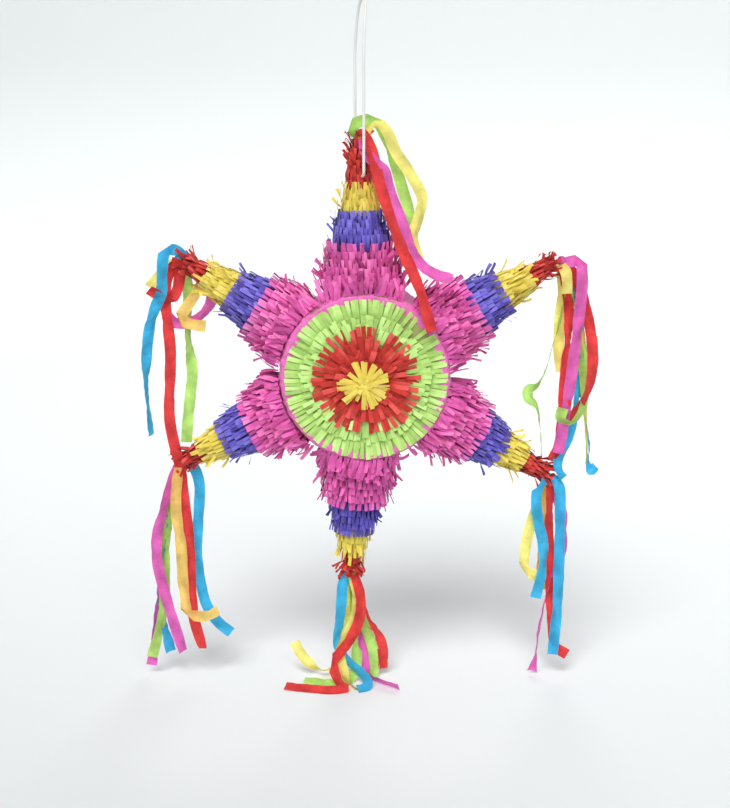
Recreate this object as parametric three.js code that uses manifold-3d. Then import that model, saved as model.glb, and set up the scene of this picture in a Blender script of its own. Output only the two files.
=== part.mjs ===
// Six-pointed star pinata: a hollow card drum with six fringed card cones round it, tissue streamers
// tied to every point and one cord loop through the top point to hang it by. Millimetres, +Z up, the
// decorated face looks along -Y, and the origin is the inside of the cord's hanging eye.
import * as THREE from 'three';
import { mergeVertices } from 'three/addons/utils/BufferGeometryUtils.js';
import Module from 'manifold-3d';

const wasm = await Module();
wasm.setup();

// ---- driving dimensions ------------------------------------------------------------------------
const STAR_CENTRE_Z = -490;      // centre of the drum below the hanging eye
const GAP = 0.3;                 // clearance between touching pieces

const DRUM_RADIUS = 104;         // outside of the card drum wall
const DRUM_HALF_DEPTH = 47.7;
const CARD = 1.6;                // card of the wall and the cones
const DISC_THICKNESS = 2.4;      // front and back discs
const COVER = 1.5;               // tissue layer round the drum
const BACK_COVER = 0.8;          // tissue layer over the back disc

const FILL_HOLE = { width: 64, height: 56, top: 30 };   // cut in the back, top edge above the centre
const FLAP_KERF = 0.5;           // cut line round the flap

const CONE_BASE_RADIUS = 43.5;     // at CONE_BASE_AT from the drum axis
const CONE_BASE_AT = 106;
const CONE_TIP_RADIUS = 3;
const FRINGE_ROOT = 1.2;         // thickness of a fringe row where it is glued
const FRINGE_LIP = 3.4;          // and at its free end
const FRINGE_NOTCH = 2.5;        // depth of the zigzag along a free end
const FRINGE_ROW = 19;           // spacing of the rows

// Direction of each point in degrees from +X towards +Z, its length from the drum axis, and where its
// pink, purple and yellow bands end.
const POINTS = {
  top: { angle: 91.6, length: 288, ends: [165, 202, 236] },
  upper_left: { angle: 148.5, length: 264, ends: [160, 196, 234] },
  lower_left: { angle: 207, length: 262, ends: [162, 202, 236] },
  bottom: { angle: 266, length: 266, ends: [172, 214, 246] },
  lower_right: { angle: 329.5, length: 272, ends: [167, 202, 236] },
  upper_right: { angle: 30, length: 271, ends: [164, 201, 238] },
};
const BANDS = ['pink', 'purple', 'yellow', 'red'];
const CONE_SEGMENTS = 12;

const CORD_RADIUS = 1.9;
const CORD_HOLE_AT = 243;        // where the cord crosses the top point, from the drum axis
const CORD_HOLE_RADIUS = 4.8;
const CORD_SLANT = 5.2;          // half the sideways distance between the front and the rear leg
const CORD_BEND = 7.8;           // its tightest bend, two diameters
const CORD_LEG_Y = 23;           // depth of the legs in front of and behind the point
const KNOT = { z: -28, radius: 6.5 };

const STREAMER_WIDTH = 14;
const STREAMER_THICKNESS = 1;
const TIE_RADIUS = 5;
const TIE_STANDOFF = 3.8;        // from the end of the card cone to the tie, so that the ribbons can sway
const FLOOR_DROP = 414;          // lowest reach of the bottom streamers below the drum axis

const COLOURS = {
  pink: 0xde54a8, purple: 0x5846af, yellow: 0xfae150, red: 0xcd2828, green: 0xa5e15f,
  card: 0xb08d62, cord: 0xf4f2ec,
};

const rad = THREE.MathUtils.degToRad;

// ---- geometry helpers --------------------------------------------------------------------------

// Positions only, shared vertices merged, faces pointing out.
function clean(geometry) {
  const bare = geometry.clone();
  bare.deleteAttribute('normal');
  bare.deleteAttribute('uv');
  const merged = mergeVertices(bare, 1e-4);
  const p = merged.attributes.position;
  const kept = [];
  let volume = 0;
  const [a, b, c] = [new THREE.Vector3(), new THREE.Vector3(), new THREE.Vector3()];
  for (let i = 0; i < merged.index.count; i += 3) {
    const t = [0, 1, 2].map((k) => merged.index.getX(i + k));
    if (t[0] === t[1] || t[1] === t[2] || t[2] === t[0]) continue;
    kept.push(...t);
    a.fromBufferAttribute(p, t[0]);
    b.fromBufferAttribute(p, t[1]);
    c.fromBufferAttribute(p, t[2]);
    volume += a.dot(b.cross(c));
  }
  if (volume < 0) kept.reverse();
  merged.setIndex(kept);
  return merged;
}

function solid(geometry) {
  const g = clean(geometry);
  return new wasm.Manifold(new wasm.Mesh({
    numProp: 3,
    vertProperties: new Float32Array(g.attributes.position.array),
    triVerts: new Uint32Array(g.index.array),
  }));
}

function geometryOf(manifold) {
  const mesh = manifold.getMesh();
  const g = new THREE.BufferGeometry();
  g.setAttribute('position', new THREE.BufferAttribute(new Float32Array(mesh.vertProperties), 3));
  g.setIndex(new THREE.BufferAttribute(new Uint32Array(mesh.triVerts), 1));
  return g;
}

const union = (solids) => solids.reduce((sum, next) => sum.add(next));

function piece(name, geometry, colour, roughness = 0.85) {
  const mesh = new THREE.Mesh(
    clean(geometry),
    new THREE.MeshStandardMaterial({ color: colour, roughness, metalness: 0 }),
  );
  mesh.name = name;
  return mesh;
}

// A ring or disc turned round the lathe axis: profile is [radius, height] pairs, closed on itself.
// notched lists profile indices whose height moves by `notch` on every other segment.
function turned(profile, segments, notched = [], notch = 0) {
  const points = [...profile, profile[0]].map(([r, h]) => new THREE.Vector2(r, h));
  const g = new THREE.LatheGeometry(points, segments);
  const p = g.attributes.position;
  for (let i = 0; i <= segments; i += 1) {
    if ((i % segments) % 2 === 0) continue;
    for (const j of notched) {
      const v = i * points.length + j;
      p.setY(v, p.getY(v) - notch);
    }
  }
  return g;
}

// ---- drum --------------------------------------------------------------------------------------

function drumRing(inner, outer, half) {
  return turned([[inner, -half], [outer, -half], [outer, half], [inner, half]], 40);
}

// Discs stand square to the drum axis, which is Y like the lathe axis.
function disc(radius, from, to) {
  const g = new THREE.CylinderGeometry(radius, radius, to - from, 40);
  return g.translate(0, (from + to) / 2, 0);
}

function fillHole(margin, from, to) {
  const { width, height, top } = FILL_HOLE;
  const g = new THREE.BoxGeometry(width - 2 * margin, to - from, height - 2 * margin);
  return g.translate(0, (from + to) / 2, top - height / 2);
}

const DISC_FACE = DRUM_HALF_DEPTH + GAP;                 // inner face of each disc
const BACK_FACE = DISC_FACE + DISC_THICKNESS;            // outer face of the back disc
const COVER_FACE = BACK_FACE + GAP;                      // inner face of the back tissue
const BACK_PLANE = COVER_FACE + BACK_COVER;              // outermost plane of the back

function drumPieces() {
  const holeCut = solid(fillHole(0, 0, 80));
  const back = solid(disc(DRUM_RADIUS, DISC_FACE, BACK_FACE)).subtract(holeCut);
  const tissue = solid(disc(DRUM_RADIUS, COVER_FACE, BACK_PLANE)).subtract(holeCut);
  const coverInner = DRUM_RADIUS + GAP;
  return [
    piece('drum_wall', drumRing(DRUM_RADIUS - CARD, DRUM_RADIUS, DRUM_HALF_DEPTH), COLOURS.card),
    piece('drum_tissue_cover', drumRing(coverInner, coverInner + COVER, BACK_FACE), COLOURS.pink),
    piece('front_disc', disc(DRUM_RADIUS, -BACK_FACE, -DISC_FACE), COLOURS.card),
    piece('back_disc', geometryOf(back), COLOURS.card),
    piece('back_tissue_cover', geometryOf(tissue), COLOURS.pink),
    piece('fill_flap', fillHole(FLAP_KERF, DISC_FACE, BACK_FACE), COLOURS.card),
    piece('fill_flap_tissue', fillHole(FLAP_KERF, COVER_FACE, BACK_PLANE), COLOURS.pink),
  ];
}

// ---- decorated front ---------------------------------------------------------------------------

const FRONT = BACK_FACE + GAP;   // glue plane of the front fringe, on the -Y side

// rows: [start radius, end radius, thickness at the free end], outermost row first.
function fringeRing(rows, inner, segments) {
  const outer = rows[0][1];
  const profile = [[inner, -FRONT], [outer, -FRONT]];
  const notched = [];
  for (const [start, end, lip] of rows) {
    profile.push([end, -FRONT - lip]);
    notched.push(profile.length - 1);
    profile.push([start, -FRONT - lip + FRINGE_ROOT]);
  }
  profile[profile.length - 1][0] = inner;
  return turned(profile, segments, notched, -0.8);
}

function rosette() {
  const petals = 22;
  const points = [[0, 0], [26, 0], [32.5, 3], [27, 8], [15, 9], [7, 12], [0, 12]];
  const g = new THREE.LatheGeometry(points.map(([r, h]) => new THREE.Vector2(r, h)), petals);
  const p = g.attributes.position;
  for (let i = 0; i <= petals; i += 1) {
    if ((i % petals) % 2 === 0) continue;
    for (const j of [2, 3, 4]) {
      const v = i * points.length + j;
      p.setXYZ(v, p.getX(v) * 0.86, p.getY(v), p.getZ(v) * 0.86);
    }
  }
  return g.rotateX(Math.PI).translate(0, -FRONT, 0);
}

function frontPieces() {
  const green = fringeRing([[83, 103, 3.2], [70.3, 84, 4.8]], 70.3, 40);
  const red = fringeRing([[57, 70, 5.6], [33, 58, 6.8]], 33, 32);
  return [
    piece('front_fringe_green', green, COLOURS.green),
    piece('front_fringe_red', red, COLOURS.red),
    piece('front_rosette_yellow', rosette(), COLOURS.yellow),
  ];
}

// ---- points ------------------------------------------------------------------------------------

// Inside a point's own group +Y runs out along the point and +Z looks to the front.
function coneRadius(at, length) {
  const t = (at - CONE_BASE_AT) / (length - CONE_BASE_AT);
  return CONE_BASE_RADIUS + (CONE_TIP_RADIUS - CONE_BASE_RADIUS) * t;
}

function coneShell(length) {
  const start = 88;
  const r = (at) => coneRadius(at, length);
  const hollowEnd = length - 12;
  return turned([
    [r(start), start],
    [CONE_TIP_RADIUS, length],
    [0, length],
    [0, hollowEnd],
    [r(hollowEnd) - CARD, hollowEnd - 1],
    [r(start) - CARD, start],
  ], CONE_SEGMENTS);
}

function fringeBand(from, to, length, flat) {
  const r = (at) => coneRadius(at, length);
  const inner = (at) => r(at) + GAP;
  const rows = Math.max(2, Math.round((to - Math.max(from, 100)) / FRINGE_ROW));
  const first = Math.max(from, 100);
  const profile = [[inner(to), to], [inner(from), from], [r(from) + (flat ? 2.4 : FRINGE_ROOT), from]];
  const lips = [];
  for (let k = 1; k <= rows; k += 1) {
    const at = first + ((to - first) * k) / rows;
    const lip = flat && k === 1 ? 2.6 : FRINGE_LIP;
    profile.push([r(at) + lip, at]);
    lips.push(profile.length - 1);
    if (k < rows) profile.push([r(at) + FRINGE_ROOT, at]);
  }
  return turned(profile, CONE_SEGMENTS, [lips[lips.length - 1]], FRINGE_NOTCH);
}

// What the drum takes away from the base of a cone: its axis is Z inside the point's group.
function drumCut() {
  const radius = DRUM_RADIUS + GAP + COVER + GAP;
  return solid(new THREE.CylinderGeometry(radius, radius, 140, 48).rotateX(Math.PI / 2));
}

// The slanted hole that the hanging cord takes through the top point.
function cordHole() {
  const g = new THREE.CylinderGeometry(CORD_HOLE_RADIUS, CORD_HOLE_RADIUS, 70, 12);
  g.rotateX(Math.PI / 2).rotateY(Math.atan2(CORD_SLANT, CORD_LEG_Y));
  return solid(g.translate(0, CORD_HOLE_AT, 0));
}

function pointGroup(name, { angle, length, ends }) {
  const turn = new THREE.Group();
  turn.rotation.y = rad(90 - angle);
  const upright = new THREE.Group();
  upright.rotation.x = Math.PI / 2;
  turn.add(upright);

  const finish = (shape, atDrum, atCord) => {
    let s = solid(shape);
    if (atDrum) s = s.subtract(drumCut());
    if (atCord) s = s.subtract(cordHole());
    return geometryOf(s);
  };
  const isTop = name === 'top';
  upright.add(piece(`point_cone_${name}`, finish(coneShell(length), true, isTop), COLOURS.card));
  const stops = [88, ...ends, length - 1];
  BANDS.forEach((colour, k) => {
    const from = k === 0 ? stops[0] : stops[k] + GAP;
    const band = fringeBand(from, stops[k + 1], length, k === 0);
    const shape = finish(band, k === 0, isTop && colour === 'red');
    upright.add(piece(`${colour}_fringe_${name}`, shape, COLOURS[colour]));
  });
  return turn;
}

// ---- streamers ---------------------------------------------------------------------------------

// One tissue ribbon: a thin strip whose side view follows [out, up] points, turned to `yaw` degrees.
function ribbon(points, yaw, steps = 9) {
  const curve = new THREE.SplineCurve(points.map(([u, z]) => new THREE.Vector2(u, z)));
  const line = curve.getSpacedPoints(steps);
  const side = (k) => {
    const a = line[Math.max(0, k - 1)];
    const b = line[Math.min(steps, k + 1)];
    const d = b.clone().sub(a).normalize();
    return new THREE.Vector2(-d.y, d.x).multiplyScalar(STREAMER_THICKNESS / 2);
  };
  const left = line.map((p, k) => p.clone().add(side(k)));
  const right = line.map((p, k) => p.clone().sub(side(k))).reverse();
  const g = new THREE.ExtrudeGeometry(new THREE.Shape([...left, ...right]), {
    depth: STREAMER_WIDTH, bevelEnabled: false,
  });
  g.translate(0, 0, -STREAMER_WIDTH / 2).rotateX(Math.PI / 2);
  return solid(g.rotateZ(rad(yaw)));
}

// Ribbons that leave the tie outward and hang: reach is how far they swing out, drop their length.
function hangingRibbon(reach, rise, drop, lean, yaw) {
  return ribbon([
    [0, 0],
    [reach * 0.7, rise],
    [reach, -0.08 * drop],
    [reach * 0.75, -0.35 * drop],
    [reach + lean, -0.7 * drop],
    [reach * 0.8 + lean * 1.6, -drop],
  ], yaw);
}

// Ribbons of the bottom point: they reach the ground plane and run out along it.
function landingRibbon(reach, run, fall, yaw) {
  return ribbon([
    [0, 0],
    [reach, -0.2 * fall],
    [reach * 0.8, -0.6 * fall],
    [reach + 3, -0.88 * fall],
    [reach + 14, -fall],
    [reach + 14 + run, -fall],
  ], yaw);
}

// Ribbons of the top point: they arch over its tip and follow the slope of the cone down.
function drapedRibbon(crest, drop, yaw) {
  const slope = 0.33;
  return ribbon([
    [0, 0],
    [10, crest],
    [24, crest * 0.6],
    [26 + slope * 0.3 * drop, -0.3 * drop],
    [25 + slope * 0.65 * drop, -0.65 * drop],
    [24 + slope * drop, -drop],
  ], yaw);
}

const STREAMERS = {
  upper_left: { side: 180, rise: 5, drops: [226, 234, 212, 230, 220] },
  upper_right: { side: 0, rise: 5, drops: [232, 224, 236, 218, 230] },
  lower_left: { side: 180, rise: 4, drops: [262, 240, 268, 255, 246] },
  lower_right: { side: 0, rise: 4, drops: [250, 258, 238, 262, 244] },
};
const FAN = [0, 66, -66, 33, -33];
const REACH = [26, 13, 13, 33, 33];
const LEAN = [3, -2, 2, -3, 3];

function tieAt({ angle, length }) {
  const at = length + TIE_RADIUS + TIE_STANDOFF;
  return new THREE.Vector3(at * Math.cos(rad(angle)), 0, at * Math.sin(rad(angle)));
}

function streamerBundle(name, ribbons) {
  const tie = solid(new THREE.SphereGeometry(TIE_RADIUS, 8, 5));
  const mesh = piece(`streamers_${name}`, geometryOf(union([tie, ...ribbons])), COLOURS.pink);
  mesh.position.copy(tieAt(POINTS[name]));
  return mesh;
}

function streamerPieces() {
  const bundles = Object.entries(STREAMERS).map(([name, { side, rise, drops }]) => streamerBundle(
    name,
    drops.map((drop, k) => hangingRibbon(REACH[k], rise, drop, LEAN[k], side + FAN[k])),
  ));
  const fall = FLOOR_DROP + tieAt(POINTS.bottom).z - STREAMER_THICKNESS / 2;
  const landing = [[11, 60, 5], [11, 48, 77], [11, 60, 172], [12, 40, 245], [12, 52, 308]];
  bundles.push(streamerBundle('bottom', landing.map(([r, run, yaw]) => landingRibbon(r, run, fall, yaw))));
  const draped = [[22, 168, 2], [24, 182, -25], [20, 150, 26]];
  bundles.push(streamerBundle('top', draped.map(([crest, drop, yaw]) => drapedRibbon(crest, drop, yaw))));
  return bundles;
}

// ---- hanging cord ------------------------------------------------------------------------------

// The route of the cord, from inside the knot down the front leg, through the point, up the rear leg.
function cordRoute() {
  const a = rad(POINTS.top.angle);
  const x = CORD_HOLE_AT * Math.cos(a);
  const z = STAR_CENTRE_Z + CORD_HOLE_AT * Math.sin(a);
  const y = CORD_LEG_Y;
  // a quarter turn from the leg into the hole: how far inward, how far above the hole, and the slant left
  const turn = [90, 75, 60, 45, 30, 15, 0].map((d) => {
    const inward = CORD_BEND * (1 - Math.sin(rad(d)));
    return [CORD_SLANT * (1 - inward / y), y - inward, CORD_BEND * (1 - Math.cos(rad(d)))];
  });
  return [
    [1.5, -1, KNOT.z],
    [x / 2 + 4, -y * 0.55, KNOT.z - 22],
    [x + CORD_SLANT, -y, KNOT.z - 70],
    [x + CORD_SLANT, -y, (KNOT.z + z) / 2],
    [x + CORD_SLANT, -y, z + 30],
    ...turn.map(([slant, out, rise]) => [x + slant, -out, z + rise]),
    [x, 0, z],
    ...turn.map(([slant, out, rise]) => [x - slant, out, z + rise]).reverse(),
    [x - CORD_SLANT, y, z + 30],
    [x - CORD_SLANT, y, (KNOT.z + z) / 2],
    [x - CORD_SLANT, y, KNOT.z - 70],
    [x / 2 - 4, y * 0.55, KNOT.z - 22],
    [-1.5, 1, KNOT.z],
  ].map((p) => new THREE.Vector3(...p));
}

function tube(points, steps, closed = false) {
  const curve = new THREE.CatmullRomCurve3(points, closed, 'centripetal');
  const section = new THREE.Shape();
  section.absarc(0, 0, CORD_RADIUS, 0, 2 * Math.PI);
  return solid(new THREE.ExtrudeGeometry(section, {
    steps, extrudePath: curve, curveSegments: 4, bevelEnabled: false,
  }));
}

function hangingLoop() {
  const top = CORD_RADIUS;       // the eye's cord centre, so that its inside is at the origin
  const half = [
    [1.5, 0, KNOT.z],
    [5.8, 0, KNOT.z * 0.62],
    ...[100, 80, 60, 40, 20].map((d) => [
      CORD_BEND * Math.sin(rad(d)), 0, top - CORD_BEND * (1 - Math.cos(rad(d))),
    ]),
  ];
  const eye = [...half, [0, 0, top], ...half.map(([px, py, pz]) => [-px, py, pz]).reverse()]
    .map((p) => new THREE.Vector3(...p));
  const knot = new THREE.SphereGeometry(KNOT.radius, 10, 6);
  knot.scale(0.9, 0.8, 1.25).translate(0, 0, KNOT.z);
  return piece(
    'hanging_cord_loop',
    geometryOf(union([solid(knot), tube(cordRoute(), 64), tube(eye, 16)])),
    COLOURS.cord,
    0.7,
  );
}

// ---- assembly ----------------------------------------------------------------------------------

const star = new THREE.Group();
star.position.z = STAR_CENTRE_Z;
star.add(...drumPieces(), ...frontPieces(), ...streamerPieces());
for (const [name, shape] of Object.entries(POINTS)) star.add(pointGroup(name, shape));

const pinata = new THREE.Group();
pinata.add(hangingLoop(), star);

export default pinata;
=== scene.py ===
"""Six-pointed star pinata: looks of the paper fringe, the tissue drum, the streamers and the cord.

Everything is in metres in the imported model's frame: +Z up, the decorated face looks along -Y.
"""
import math

import bpy
import numpy as np
from mathutils import Euler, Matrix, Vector


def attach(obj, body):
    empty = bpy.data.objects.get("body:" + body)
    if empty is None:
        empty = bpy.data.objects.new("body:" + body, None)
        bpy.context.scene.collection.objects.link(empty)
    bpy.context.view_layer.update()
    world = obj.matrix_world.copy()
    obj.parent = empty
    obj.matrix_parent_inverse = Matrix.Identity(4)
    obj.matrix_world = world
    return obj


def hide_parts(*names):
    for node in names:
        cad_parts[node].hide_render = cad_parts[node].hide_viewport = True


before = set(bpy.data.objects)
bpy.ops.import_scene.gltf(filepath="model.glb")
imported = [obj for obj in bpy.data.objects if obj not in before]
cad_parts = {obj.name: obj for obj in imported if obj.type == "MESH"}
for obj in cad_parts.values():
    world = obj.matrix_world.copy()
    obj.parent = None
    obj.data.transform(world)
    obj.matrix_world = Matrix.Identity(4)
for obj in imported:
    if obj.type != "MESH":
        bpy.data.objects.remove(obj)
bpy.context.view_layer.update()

MM = 0.001
TURN = 2 * math.pi
CENTRE_Z = -0.490              # drum centre below the hanging eye
FLOOR_Z = CENTRE_Z - 0.4145
DRUM_R = 0.1058                # outside of the drum's tissue
FRONT_Y = -0.0504              # glue plane of the front fringe
BACK_Y = 0.0515                # outermost plane of the back
CONE_BASE_AT, CONE_BASE_R, CONE_TIP_R = 0.106, 0.0435, 0.003
# each point: the angle of its axis, its length and where its first three bands end
POINTS = {
    "top": (91.6, 0.288, (0.165, 0.202, 0.236)),
    "upper_left": (148.5, 0.264, (0.160, 0.196, 0.234)),
    "lower_left": (207.0, 0.262, (0.162, 0.202, 0.236)),
    "bottom": (266.0, 0.266, (0.172, 0.214, 0.246)),
    "lower_right": (329.5, 0.272, (0.167, 0.202, 0.236)),
    "upper_right": (30.0, 0.271, (0.164, 0.201, 0.238)),
}
CORD_HOLE_AT, CORD_SLANT, CORD_LEG_Y, KNOT_Z = 0.243, 0.0052, 0.023, -0.028
CORD_DIAMETER = 0.0038
CORD_BEND = 0.0078             # its tightest bend, two diameters
ORIGIN = np.array([0, 0, CENTRE_Z])
FRONT = np.array([0.0, -1.0, 0.0])


def belongs(obj, body, node):
    """Ties a visual piece to its body and hides the CAD node it stands for."""
    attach(obj, body)
    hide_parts(node)


# ---- camera and light ----

def place_camera():
    """The viewer stands a little above the star's middle, almost square to its face."""
    azimuth, elevation, distance, extra_pitch = -0.3, 12.5, 1.733, 1.43
    a, e = math.radians(azimuth), math.radians(elevation)
    back = Vector((math.sin(a) * math.cos(e), -math.cos(a) * math.cos(e), math.sin(e)))
    data = bpy.data.cameras.new("camera")
    data.sensor_fit = "HORIZONTAL"
    data.sensor_width = 36.0
    data.lens = 67.7
    cam = bpy.data.objects.new("camera", data)
    cam.location = Vector((0, 0, CENTRE_Z)) + back * distance
    cam.rotation_euler = Euler((math.radians(90 - elevation - extra_pitch), 0, a))
    bpy.context.scene.collection.objects.link(cam)
    bpy.context.scene.camera = cam


def lamp(name, kind, place, energy, **settings):
    """A light that points at the middle of the drum."""
    data = bpy.data.lights.new(name, kind)
    data.energy = energy
    for key, value in settings.items():
        setattr(data, key, value)
    light = bpy.data.objects.new(name, data)
    light.location = place
    light.rotation_euler = (Vector(ORIGIN) - light.location).to_track_quat("-Z", "Y").to_euler()
    bpy.context.scene.collection.objects.link(light)


def light_scene():
    """One large soft key from the upper left, two weak fills and a pale surround."""
    lamp("high_key", "SUN", (-0.28, -0.95, 0.80), 2.6, angle=math.radians(34),
         color=(1.0, 0.995, 0.98))
    lamp("front_fill", "AREA", (0.5, -1.9, 0.35), 7, shape="DISK", size=0.8)
    lamp("back_fill", "AREA", (0.3, 1.7, 0.7), 9, shape="DISK", size=1.0)
    world = bpy.data.worlds.new("studio")
    bpy.context.scene.world = world
    world.use_nodes = True
    background = world.node_tree.nodes["Background"]
    background.inputs["Color"].default_value = (0.96, 0.98, 1.0, 1)
    background.inputs["Strength"].default_value = 0.25
    bpy.context.scene.view_settings.view_transform = "Standard"


# ---- materials ----

def linear(rgb):
    return [((c / 255 + 0.055) / 1.055) ** 2.4 if c > 10 else c / 255 / 12.92 for c in rgb]


class Nodes:
    """A short way to write a material's node tree."""

    def __init__(self, name):
        self.material = bpy.data.materials.new(name)
        self.material.use_nodes = True
        self.tree = self.material.node_tree
        self.tree.nodes.clear()
        self.place = self.add("ShaderNodeTexCoord").outputs["Object"]

    def add(self, kind, inputs=None, **settings):
        """A node with its settings; an input is a number, a colour or another node's output."""
        node = self.tree.nodes.new(kind)
        for key, value in settings.items():
            setattr(node, key, value)
        for socket, value in (inputs or {}).items():
            if isinstance(value, bpy.types.NodeSocket):
                self.tree.links.new(value, node.inputs[socket])
            else:
                node.inputs[socket].default_value = value
        return node

    def math(self, operation, a, b):
        return self.add("ShaderNodeMath", {0: a, 1: b}, operation=operation).outputs[0]

    def attribute(self, name):
        return self.add("ShaderNodeAttribute", attribute_name=name).outputs["Fac"]

    def noise(self, vector, scale, detail=3.0, roughness=0.55):
        inputs = {"Vector": vector, "Scale": scale, "Detail": detail, "Roughness": roughness}
        return self.add("ShaderNodeTexNoise", inputs).outputs["Fac"]

    def mix(self, factor, a, b, blend="MIX"):
        a, b = ((*c, 1) if isinstance(c, list) else c for c in (a, b))
        inputs = {0: factor, 6: a, 7: b}
        return self.add("ShaderNodeMix", inputs, data_type="RGBA", blend_type=blend).outputs[2]

    def ramp(self, value, low, high):
        inputs = {"Value": value, "From Min": low, "From Max": high}
        return self.add("ShaderNodeMapRange", inputs).outputs["Result"]

    def bump(self, height, strength, distance):
        inputs = {"Height": height, "Strength": strength, "Distance": distance}
        return self.add("ShaderNodeBump", inputs).outputs["Normal"]

    def principled(self, inputs):
        return self.add("ShaderNodeBsdfPrincipled", inputs).outputs[0]

    def done(self, surface):
        self.add("ShaderNodeOutputMaterial", {"Surface": surface})
        return self.material


def tissue(name, rgb, through=0.22, crease=0.22, tone=0.16, deep=0.80, light=1.12, patch=None,
           crepe=False, painted_highlight=0.0):
    """Tissue paper: fibres, creases, strip-to-strip variation, painted shade, painted highlights
    and some light coming through.

    deep and light are the ends of the mottling; tone is how far the strip tone moves the colour,
    both how much the strips differ and how deep their painted shade goes; painted_highlight is how
    far the strips of highest tone turn to a pale painted highlight. patch = (rgb, x, z, radius):
    where the glued paper shows the card.
    """
    n = Nodes(name)
    base = linear(rgb)
    strip = n.attribute("tone")
    mottle = n.noise(n.place, 140.0, 4.0, 0.6)
    fibre = n.noise(n.place, 900.0, 2.0, 0.7)
    cloud = n.noise(n.place, 34.0, 2.0)
    dark = [c * deep for c in base]
    bright = [min(1.0, c * light + 0.012) for c in base]
    colour = n.mix(n.ramp(mottle, 0.32, 0.68), dark, bright)
    colour = n.mix(n.math("MULTIPLY", n.ramp(fibre, 0.35, 0.75), 0.22), colour, bright)
    # painted shade: the strip tone, which holds each strip's own random tone together with the
    # painted shade at finger roots, under the fingers and of whole points, darkens or lightens the
    # colour
    shade = n.math("ADD", n.math("MULTIPLY", strip, 2 * tone), 1 - tone)
    shade = n.math("MULTIPLY", shade, n.math("ADD", n.math("MULTIPLY", cloud, 0.16), 0.92))
    grey = n.add("ShaderNodeCombineColor", {"Red": shade, "Green": shade, "Blue": shade})
    colour = n.mix(1.0, colour, grey.outputs["Color"], "MULTIPLY")
    # painted highlight: the strips of highest tone turn towards a paler colour, as a sheen would
    pale = [c + (1 - c) * 0.42 for c in base]
    colour = n.mix(n.math("MULTIPLY", n.ramp(strip, 0.55, 1.0), painted_highlight), colour, pale)
    if patch:
        stain, px, pz, radius = patch
        ends = {0: n.place, 1: (px, FRONT_Y, pz)}
        gap = n.add("ShaderNodeVectorMath", ends, operation="DISTANCE")
        ragged = n.math("MULTIPLY", n.noise(n.place, 60.0), radius)
        spread = n.math("ADD", gap.outputs["Value"], ragged)
        where = n.ramp(spread, radius * 1.35, radius * 1.05)
        colour = n.mix(n.math("MULTIPLY", where, 0.85), colour, linear(stain))
        wide = n.ramp(n.noise(n.place, 28.0, 3.0), 0.5, 0.62)
        colour = n.mix(n.math("MULTIPLY", wide, 0.45), colour, linear(stain))
    height = n.math("ADD", n.noise(n.place, 330.0, 3.0, 0.65), n.math("MULTIPLY", fibre, 0.35))
    if crepe:
        # fine and broad creases across the streamer, by the distance along it
        along = n.add("ShaderNodeCombineXYZ", {"X": n.attribute("run")}).outputs[0]
        height = n.math("ADD", height, n.math("MULTIPLY", n.noise(along, 420.0, 2.0, 0.6), 1.6))
        height = n.math("ADD", height, n.math("MULTIPLY", n.noise(along, 38.0, 1.0), 3.0))
    normal = n.bump(height, crease, 0.0006)
    paper = n.principled({
        "Base Color": colour, "Normal": normal, "Roughness": 0.72, "Specular IOR Level": 0.3,
        "Sheen Weight": 0.12, "Sheen Roughness": 0.5,
    })
    glow = n.add("ShaderNodeBsdfTranslucent", {"Color": colour, "Normal": normal}).outputs[0]
    return n.done(n.add("ShaderNodeMixShader", {0: through, 1: paper, 2: glow}).outputs[0])


def card_material():
    """Brown corrugated card: flute lines, fibre flecks and a scuffed, lighter face."""
    n = Nodes("brown_card")
    stretch = n.add("ShaderNodeMapping", {"Scale": (1.0, 1.0, 0.08), "Vector": n.place})
    flutes = n.add("ShaderNodeTexWave", {"Scale": 90.0, "Distortion": 0.6, "Vector": n.place},
                   wave_type="BANDS", bands_direction="X")
    flecks = n.noise(stretch.outputs[0], 700.0, 4.0, 0.7)
    scuff = n.math("MULTIPLY", n.ramp(n.noise(n.place, 24.0, 4.0), 0.45, 0.7), 0.35)
    colour = n.mix(n.ramp(flecks, 0.35, 0.7), linear((150, 112, 74)), linear((186, 148, 104)))
    colour = n.mix(scuff, colour, linear((202, 172, 132)))
    height = n.math("ADD", flutes.outputs["Fac"], n.math("MULTIPLY", flecks, 0.6))
    normal = n.bump(height, 0.25, 0.0004)
    return n.done(n.principled({"Base Color": colour, "Normal": normal, "Roughness": 0.85}))


def cord_material():
    """White twisted cotton: fine fibre bump and painted shade, a faint grey between the strands."""
    n = Nodes("white_cord")
    fibre = n.noise(n.place, 2600.0, 2.0, 0.7)
    # painted shade: the grey in the grooves between the strands
    groove_shade = n.ramp(n.attribute("tone"), 0.0, 0.6)
    colour = n.mix(groove_shade, linear((205, 204, 200)), linear((250, 249, 246)))
    colour = n.mix(n.math("MULTIPLY", fibre, 0.25), colour, linear((228, 226, 220)))
    normal = n.bump(fibre, 0.4, 0.0002)
    return n.done(n.principled(
        {"Base Color": colour, "Normal": normal, "Roughness": 0.7, "Sheen Weight": 0.25}))


def sweep_material():
    """The pale matt paper of the studio, with a very faint cloud."""
    n = Nodes("pale_sweep")
    base = linear((231, 234, 235))
    colour = n.mix(n.noise(n.place, 3.0), [c * 0.985 for c in base], base)
    return n.done(n.principled(
        {"Base Color": colour, "Roughness": 0.9, "Specular IOR Level": 0.2}))


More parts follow.
